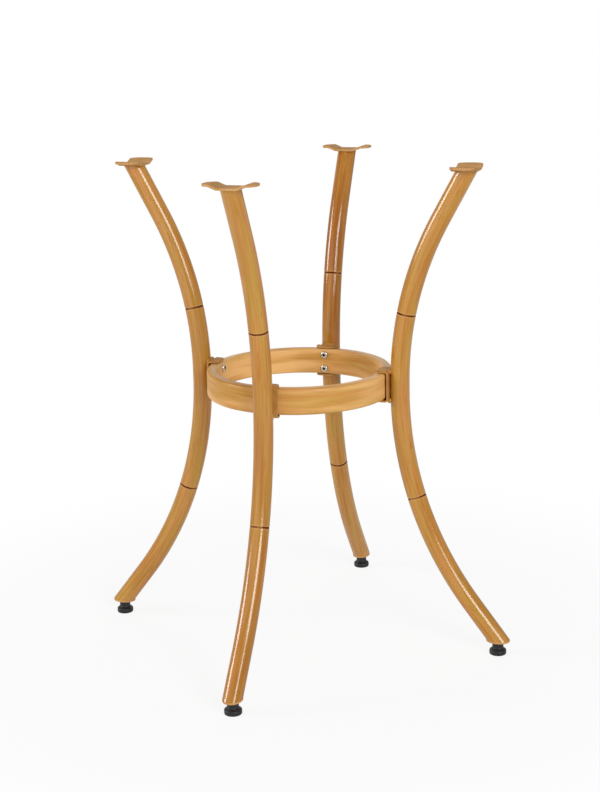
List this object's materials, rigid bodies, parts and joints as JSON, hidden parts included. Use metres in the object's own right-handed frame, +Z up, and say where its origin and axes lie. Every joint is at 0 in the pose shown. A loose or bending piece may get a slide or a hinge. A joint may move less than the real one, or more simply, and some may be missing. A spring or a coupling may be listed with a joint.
{
  "type": "four-leg table base",
  "caption": "Table base of bowed cane-look tube legs joined at the waist by a ring, with stamped brackets for a table top above and levelling glides below.",
  "frame": {"origin": "on the floor, under the centre line of the ring", "axes": "+Z up along the centre line; the legs stand on -Y (front), +X (right), +Y (back), -X (left)"},
  "size_m": [0.6412, 0.6412, 0.72],
  "materials": {
    "cane_lacquer": "glossy golden cane print on aluminium",
    "bright_steel": "bright zinc plate",
    "black_plastic": "satin moulded"
  },
  "bodies": {
    "frame": {"leg_front": "cane_lacquer", "top_bracket_front": "cane_lacquer", "ring_bracket_front": "cane_lacquer", "end_plate_front": "cane_lacquer", "leg_right": "cane_lacquer", "top_bracket_right": "cane_lacquer", "ring_bracket_right": "cane_lacquer", "end_plate_right": "cane_lacquer", "leg_back": "cane_lacquer", "top_bracket_back": "cane_lacquer", "ring_bracket_back": "cane_lacquer", "end_plate_back": "cane_lacquer", "leg_left": "cane_lacquer", "top_bracket_left": "cane_lacquer", "ring_bracket_left": "cane_lacquer", "end_plate_left": "cane_lacquer", "ring": "cane_lacquer", "ring_screws": "bright_steel", "ring_blind_nuts": "bright_steel"},
    "glide_front": {"glide_pad_front": "black_plastic", "glide_stud_front": "bright_steel"},
    "glide_right": {"glide_pad_right": "black_plastic", "glide_stud_right": "bright_steel"},
    "glide_back": {"glide_pad_back": "black_plastic", "glide_stud_back": "bright_steel"},
    "glide_left": {"glide_pad_left": "black_plastic", "glide_stud_left": "bright_steel"}
  },
  "joints": [
    {"name": "glide_front_level", "type": "slide", "parent": "frame", "child": "glide_front", "axis": [0, 0, -1], "range_m": [0, 0.008]},
    {"name": "glide_right_level", "type": "slide", "parent": "frame", "child": "glide_right", "axis": [0, 0, -1], "range_m": [0, 0.008]},
    {"name": "glide_back_level", "type": "slide", "parent": "frame", "child": "glide_back", "axis": [0, 0, -1], "range_m": [0, 0.008]},
    {"name": "glide_left_level", "type": "slide", "parent": "frame", "child": "glide_left", "axis": [0, 0, -1], "range_m": [0, 0.008]}
  ]
}
